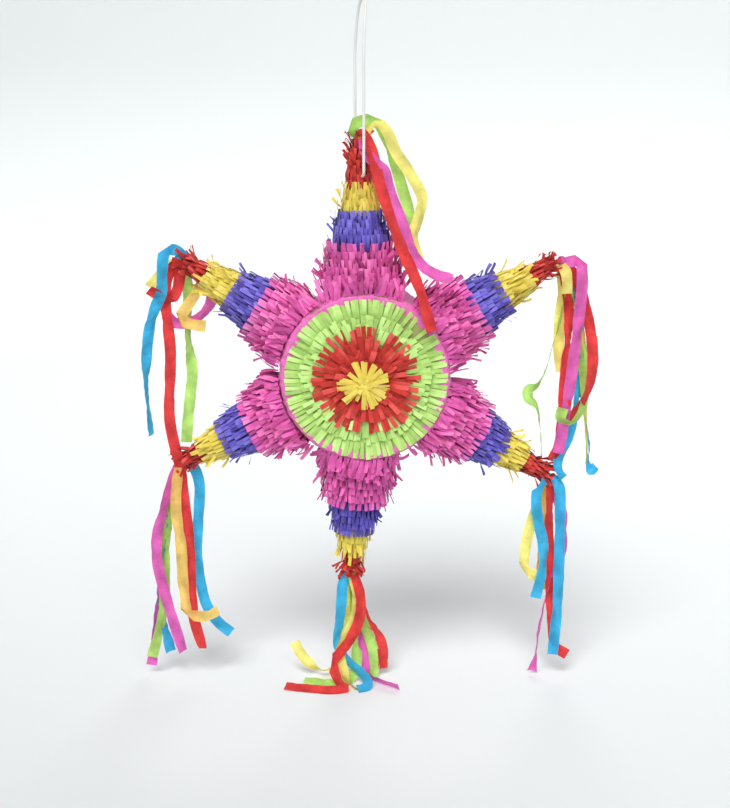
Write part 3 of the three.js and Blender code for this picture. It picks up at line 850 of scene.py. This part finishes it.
# The ribbons of each bundle: a colour and the points of its route, in millimetres from the drum's
# centre. The fourth value of a point is the angle of the flat side to the front (0 faces it, 90 is
# edge-on), and a fifth value marks a fold.
RIBBONS = {
    "top": """
    green: -5 -2 286 20, -12 -5 294 5, -18 -8 303 0 1, -4 -10 308 0, 13 -9 312 0 1, 21 -4 298 10,
      28 1 280 30, 36 4 258 20, 47 0 222 15, 57 -4 190 25, 61 -8 162 60;
    yellow: -2 -4 286 20, 4 -8 300 30, 14 -12 307 40, 25 -13 298 30, 37 -15 272 10, 55 -17 245 0,
      69 -18 217 10, 65 -22 195 40, 58 -25 170 20, 66 -30 142 10;
    pink: -4 -8 286 40, 2 -18 270 10, 14 -23 258 -20, 24 -25 248 0, 31 -27 222 10, 42 -33 195 15,
      53 -40 167 30, 68 -50 140 30, 86 -58 129 40, 104 -62 125 50;
    red: -8 -4 284 0, -4 -12 293 20, 5 -17 284 30, 12 -23 258 10, 19 -30 230 5, 27 -37 205 10,
      36 -44 180 25, 46 -51 155 10, 58 -58 130 15, 69 -65 101 20, 80 -69 62 35""",
    "upper_left": """
    blue: -222 -4 145 10, -231 -9 152 0, -245 -12 155 0 1, -248 -12 142 0, -250 -11 124 -5,
      -252 -9 100 10, -260 -5 82 15, -268 -2 60 20, -273 0 32 30, -276 2 2 55, -277 4 -30 74,
      -275 4 -60 80, -273 4 -86 74;
    red: -226 -3 138 20, -230 0 118 10, -234 2 101 0, -244 -2 86 0 1, -257 -8 97 0, -267 -12 104 15;
    red: -226 0 140 30, -240 4 128 20, -249 3 100 10, -247 -2 66 0, -244 -4 25 5, -246 -5 -18 0,
      -248 -5 -60 -10, -242 -6 -100 5, -234 -8 -132 15;
    orange: -228 6 136 10, -216 12 124 0, -204 8 112 -20, -213 0 94 0, -224 -6 78 0, -232 -7 66 0 1,
      -216 -7 60 0, -199 -4 57 15;
    pink: -226 4 140 10, -208 16 120 0, -192 12 92 10, -202 4 72 20, -220 0 61 20, -238 2 60 10,
      -250 6 70 0;
    green: -228 6 138 20, -222 12 108 30, -222 10 76 55, -223 6 48 62, -220 3 20 35, -218 1 -4 10,
      -221 1 -30 0, -225 0 -62 0, -228 -1 -94 10;
    yellow: -230 4 140 10, -246 8 128 0, -260 6 114 -10, -268 4 104 0""",
    "lower_left": """
    green: -239 -1 -124 30, -247 1 -150 50, -257 3 -195 30, -261 2 -240 20, -262 0 -285 40,
      -266 -2 -325 20, -274 -4 -360 30, -282 -6 -388 20;
    pink: -240 -4 -124 10, -254 -7 -165 40, -268 -9 -212 20, -270 -9 -250 5, -263 -9 -290 0,
      -252 -9 -335 10, -240 -11 -378 30;
    orange: -239 -8 -126 20, -243 -11 -180 10, -238 -12 -230 0, -237 -12 -280 5, -235 -11 -305 0,
      -234 -11 -326 0 1, -214 -11 -328 10, -204 -12 -326 30, -192 -12 -319 40;
    red: -237 0 -124 10, -233 -4 -170 20, -228 -6 -225 5, -227 -7 -285 0, -225 -8 -330 0,
      -214 -10 -374 -10;
    blue: -238 8 -122 10, -224 12 -128 20, -215 11 -150 10, -217 9 -200 5, -220 7 -240 10,
      -217 5 -280 15, -209 4 -318 20, -194 2 -342 30, -177 0 -356 10;
    blue: -243 5 -126 50, -254 8 -200 60, -263 8 -262 65, -270 6 -305 60, -266 4 -345 62,
      -258 2 -384 40;
    pink: -242 6 -126 40, -262 6 -230 60, -272 4 -320 60, -279 2 -372 40, -284 0 -402 10""",
    "bottom": """
    blue: -23 -3 -269 10, -29 -9 -286 0, -31 -12 -310 5, -34 -13 -340 20, -37 -14 -358 35,
      -31 -18 -376 10, -20 -24 -388 -20, -6 -32 -398 -20, 3 -42 -408 -30, 0 -50 -412 -60,
      -10 -54 -412 -70;
    yellow: -18 -6 -271 20, -10 -10 -300 30, -13 -14 -330 10, -26 -18 -357 0, -33 -21 -376 10,
      -29 -29 -396 0, -20 -40 -410 -30, -8 -54 -412 -60;
    red: -14 -8 -272 10, -6 -13 -300 30, -8 -16 -332 10, -20 -22 -357 0, -44 -32 -385 0 1,
      -34 -46 -405 0, -26 -54 -411 -40, -42 -58 -412 -55, -74 -52 -412 -60, -104 -44 -411 -60;
    yellow: -20 0 -271 20, -23 4 -320 30, -27 0 -370 20, -38 -8 -400 30, -56 -10 -406 60,
      -72 -8 -398 30, -84 -6 -385 10, -93 -4 -368 0;
    green: -16 4 -271 10, -13 6 -320 30, -11 -2 -370 10, -14 -22 -404 -20, -30 -34 -411 -60,
      -52 -36 -411 -80, -80 -30 -411 -80;
    pink: -17 6 -272 20, -8 9 -320 30, -3 2 -368 10, 0 -14 -398 10, 8 -26 -408 -20, 24 -40 -409 -38,
      44 -54 -410 -42;
    red: -15 5 -272 40, -4 8 -315 40, 3 5 -342 50, 14 0 -352 70, 23 -4 -376 20, 24 -9 -404 20;
    green: -19 2 -272 30, -9 3 -302 20, -5 1 -336 0, 6 -4 -362 10, 13 -9 -392 20,
      10 -22 -411 -10""",
    "lower_right": """
    blue: 239 -3 -141 20, 232 -7 -143 0, 223 -9 -149 0 1, 220 -9 -166 0, 223 -9 -195 0,
      231 -9 -232 10, 230 -9 -270 20, 223 -9 -304 10;
    blue: 242 -5 -140 10, 249 -10 -152 0, 251 -12 -190 5, 252 -12 -245 0, 252 -11 -312 5,
      248 -10 -384 0;
    yellow: 240 2 -144 30, 227 4 -170 40, 217 2 -200 20, 210 0 -233 0, 207 -2 -268 0 1,
      228 -5 -277 0;
    pink: 241 4 -144 20, 250 5 -172 10, 257 3 -200 10, 257 1 -240 30, 249 2 -275 50, 239 1 -305 66,
      231 0 -345 70, 227 -2 -385 62, 222 -4 -410 10;
    red: 241 0 -145 20, 239 2 -190 30, 240 2 -240 20, 243 0 -290 10, 248 -3 -345 0, 251 -4 -376 0 1,
      268 -6 -385 0;
    orange: 238 5 -144 10, 232 8 -200 30, 232 8 -262 20, 235 5 -298 10""",
    "upper_right": """
    pink: 238 -3 135 10, 248 -8 137 5, 266 -11 141 0 1, 268 -13 114 0, 266 -13 76 0, 262 -13 30 5,
      257 -13 -20 0, 252 -13 -60 5, 246 -13 -106 0;
    red: 242 -1 137 20, 258 2 124 30, 271 3 95 10, 282 1 55 10, 287 -2 12 0, 283 -5 -22 20,
      269 -9 -50 40, 257 -11 -62 30, 250 -13 -52 0, 254 -12 -36 20;
    yellow: 240 -4 136 10, 247 -14 126 0, 249 -16 112 5, 249 -15 99 10;
    green: 243 2 136 30, 251 3 108 70, 245 2 70 80, 236 2 28 82, 226 1 -8 80, 216 0 -22 35,
      207 -2 -26 5, 207 -4 -36 25, 217 -5 -46 70, 222 -6 -70 80, 226 -6 -110 82;
    yellow: 244 5 136 20, 247 8 100 10, 245 8 60 0, 245 8 20 5, 248 7 -4 10;
    blue: 245 5 137 30, 261 8 112 40, 269 8 80 50, 274 7 30 40, 272 5 -10 50, 267 3 -56 30,
      259 0 -90 10, 248 -4 -112 10, 247 -8 -127 20, 254 -10 -140 30;
    blue: 245 4 136 30, 266 10 90 70, 272 11 20 76, 276 10 -40 80, 284 8 -76 82, 289 6 -104 84,
      287 4 -124 70, 291 3 -134 40, 297 3 -128 60;
    green: 244 3 138 20, 261 6 102 50, 269 6 52 40, 275 4 12 20, 279 0 -22 0, 274 -8 -52 40,
      259 -15 -66 50, 247 -17 -60 40, 249 -17 -46 10;
    yellow: 246 6 138 30, 266 10 92 60, 277 10 30 70, 281 8 -45 66, 284 6 -92 70, 286 4 -124 60;
    red: 243 0 138 20, 255 4 80 30, 254 4 0 20, 250 0 -72 10, 246 -5 -102 30, 236 -9 -116 50""",
}
RIBBON_WIDTH = 0.0142
FOLD_REACH = 0.012             # how far from a fold the paper lies flat


def zigzag(x):
    """A wave of flat stretches between creases."""
    return 2 / math.pi * np.arcsin(0.97 * np.sin(x))


def read_ribbons(text):
    """The colour and the route of each ribbon: ; parts the ribbons and , the points."""
    for entry in text.split(";"):
        colour, route = entry.split(":")
        yield colour.strip(), [[float(v) for v in point.split()] for point in route.split(",")]


def ribbon_parts(route):
    """The stretches of the ribbon's middle line between its folds, with their lengths."""
    parts, start = [], 0
    for end in [i for i, p in enumerate(route) if len(p) > 4] + [len(route) - 1]:
        data = np.array([p[:4] for p in route[start : end + 1]], float)
        data[:, :3] *= MM
        data[:, 2] += CENTRE_Z
        parts.append(spline(data, 0.0024))
        start = end
    return parts


def lean_at_fold(tangent, wide, beyond):
    """How far a row beside a fold leans, to lie along the crease that halves the turn."""
    crease = unit(beyond + tangent)
    square = unit(tangent - crease * np.dot(tangent, crease))
    return np.clip(-np.dot(wide, square) / np.dot(tangent, square), -1.3, 1.3)


def ribbon(name, colour, route, rng):
    """A creased strip along its route. After a fold the paper goes on with its other face up."""
    parts = ribbon_parts(route)
    phases = rng.uniform(0, 6.3, 4)
    cols = np.linspace(-1, 1, 9)
    ridge = rng.uniform(-0.35, 0.35)
    waves = [(rng.uniform(0.00010, 0.00034), f, g, rng.uniform(0, 6.3))
             for f, g in ((170, 1.2), (330, -2.1), (560, 2.6), (110, 3.0))]
    rows, runs, done, side = [], [], 0.0, 1.0
    for k, (fine, span) in enumerate(parts):
        line, angle = fine[:, :3], np.radians(fine[:, 3])
        tangent = unit(np.gradient(line, axis=0))
        normal = unit(FRONT - tangent * np.sum(FRONT * tangent, axis=1, keepdims=True))
        run = done + np.linspace(0, span, len(line))
        folds = [(edge, other, np.clip(1 - gap / FOLD_REACH, 0, 1))
                 for edge, other, gap in ((0, k - 1, run - done), (-1, k + 1, done + span - run))
                 if 0 <= other < len(parts)]
        near = np.zeros(len(line))       # 1 at a fold, 0 away from it
        for _, _, close in folds:
            near = np.maximum(near, close)
        free = np.clip(run / 0.05, 0, 1) * (0.25 + 0.75 * np.cos(angle) ** 2) * (1 - near)
        waver = 0.42 * zigzag(run / 0.015 + phases[0]) + 0.16 * zigzag(run / 0.0065 + phases[1])
        angle = (angle * (1 - near) + free * waver)[:, None]
        wide = (np.cross(tangent, normal) * np.cos(angle) + normal * np.sin(angle)) * side
        flat = np.cross(tangent, wide)
        # gathered where it is tied, full width further on
        gather = np.clip(0.70 + run / 0.05, 0.70, 1.0)
        half = cols[None, :] * RIBBON_WIDTH / 2
        # a lengthwise fold that comes and goes
        fold = 0.0026 * zigzag(run / 0.021 + phases[2]) + 0.0014 * zigzag(run / 0.009 + phases[3])
        lift = fold[:, None] * (1 - np.abs(cols[None, :] - ridge)) * 0.8
        lift = lift + sum(size * np.sin(run[:, None] * f + cols[None, :] * g + shift)
                          for size, f, g, shift in waves)
        lift = lift * (1 - near[:, None])
        slide = np.zeros(lift.shape)
        for edge, other, close in folds:
            path = parts[other][0][:, :3]
            beyond = unit(path[1] - path[0]) if edge else unit(path[-1] - path[-2])
            slide += close[:, None] * lean_at_fold(tangent[edge], wide[edge], beyond) * half
        # the layer after a fold lies on the one before it
        over = 0.0009 * (k % 2) * np.clip((run - done) / 0.004, 0, 1)
        rows.append(
            line[:, None, :]
            + wide[:, None, :] * (half * gather[:, None])[..., None]
            + flat[:, None, :] * lift[..., None]
            + tangent[:, None, :] * slide[..., None]
            + normal[:, None, :] * over[:, None, None]
        )
        runs.append(run)
        done += span
        side = -side
    for before, after in zip(rows, rows[1:]):
        before[-1] = after[0] = (before[-1] + after[0]) / 2
    points = np.concatenate([rows[0]] + [r[1:] for r in rows[1:]])
    run = np.concatenate([runs[0]] + [r[1:] for r in runs[1:]])
    points[..., 2] = np.maximum(points[..., 2], FLOOR_Z + 0.0004)
    build = Build()
    # painted light and shade: broad bands along the streamer that run slantwise across it, so one
    # edge and then the other turns darker
    tones = 0.5 + 0.3 * np.sin(run[:, None] * 75 + cols * 2) + 0.2 * np.sin(run[:, None] * 190)
    build.grid(points[None], tones[None])
    obj = build.object(name, RIBBON_PAPER[colour])
    mark(obj, "run", np.repeat(run + rng.uniform(0, 5), len(cols)))
    return obj, done


TIES = {  # where each bundle is tied, in millimetres from the drum's centre, and its knot's colour
    "top": ((-7, -2, 288), "green"),
    "upper_left": ((-230, -1, 141), "blue"),
    "upper_right": ((243, -1, 138), "pink"),
    "lower_left": ((-239, -1, -123), "red"),
    "lower_right": ((241, 0, -143), "red"),
    "bottom": ((-19, -1, -273), "red"),
}


def knot(bundle, rng):
    """The ribbons' ends knotted over the tip: small overlapping loops round the tie."""
    centre, colour = TIES[bundle]
    centre = np.array(centre) * MM + ORIGIN
    n, rows, cols, widest = 15, 9, 4, 0.0036
    axis = unit(rng.normal(0, 1, (n, 3)))
    first = unit(np.cross(axis, rng.normal(0, 1, (n, 3))))
    axis, first, second = (v[:, None, None, :] for v in (axis, first, np.cross(axis, first)))

    def each(low, high):
        return rng.uniform(low, high, n)[:, None, None, None]

    t = np.linspace(0, 1, rows)[None, :, None, None] * each(2.0, 3.6)
    r = each(0.0042, 0.0072) * (1 + 0.1 * np.sin(3 * t))
    across = np.linspace(-1, 1, cols)[None, None, :, None] * each(0.0022, widest)
    pinch = 1 - 0.35 * np.abs(across) / widest
    points = centre + (first * np.cos(t) + second * np.sin(t)) * r * pinch + axis * across
    build = Build()
    build.grid(points, rng.uniform(0.2, 0.9, n))
    return build.object(f"ribbon_knot_{bundle}", RIBBON_PAPER[colour])


def streamers():
    for bundle, ribbons in RIBBONS.items():
        body = "star" if bundle == "top" else f"hanging_streamers_{bundle}"
        node = f"streamers_{bundle}"
        rng = np.random.default_rng(500 + len(bundle))
        belongs(knot(bundle, rng), body, node)
        for k, (colour, route) in enumerate(read_ribbons(ribbons)):
            obj, length = ribbon(f"ribbon_{bundle}_{k + 1}_{colour}", colour, route, rng)
            belongs(obj, body, node)


# ---- the card pieces and the room ----

def dress_cad():
    """Bare card on the pieces that keep their CAD shape."""
    shown = ["drum_wall", "front_disc", "back_disc", "fill_flap"]
    for node in shown + [f"point_cone_{name}" for name in POINTS]:
        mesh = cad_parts[node].data
        mesh.materials.clear()
        mesh.materials.append(CARD)


def room():
    """A plain pale floor that curves up into a plain wall a few metres away, all the way round."""
    flat, curve, height, steps, spokes = 2.3, 0.8, 2.6, 16, 96
    profile = [(0.0, 0.0), (0.02, 0.0), (0.8, 0.0), (1.6, 0.0), (flat, 0.0)]
    for k in range(1, steps + 1):
        a = math.pi / 2 * k / steps
        profile.append((flat + curve * math.sin(a), curve * (1 - math.cos(a))))
    profile.append((flat + curve, height))
    phi = np.linspace(0, TURN, spokes, endpoint=False)
    rings = np.array([[(r * math.cos(p), r * math.sin(p), FLOOR_Z + z) for p in phi]
                      for r, z in profile])
    build = Build()
    # the middle of the floor is its own small disc
    for part in (rings[1:], rings[:2]):
        build.grid(part[None], np.full((1, len(part), spokes), 0.5), wrap=True)
    build.object("sweep", sweep_material())


place_camera()
hanging_cord()
light_scene()
make_points()
front_fringe()
drum_wrap()
back_sheet()
streamers()
dress_cad()
room()
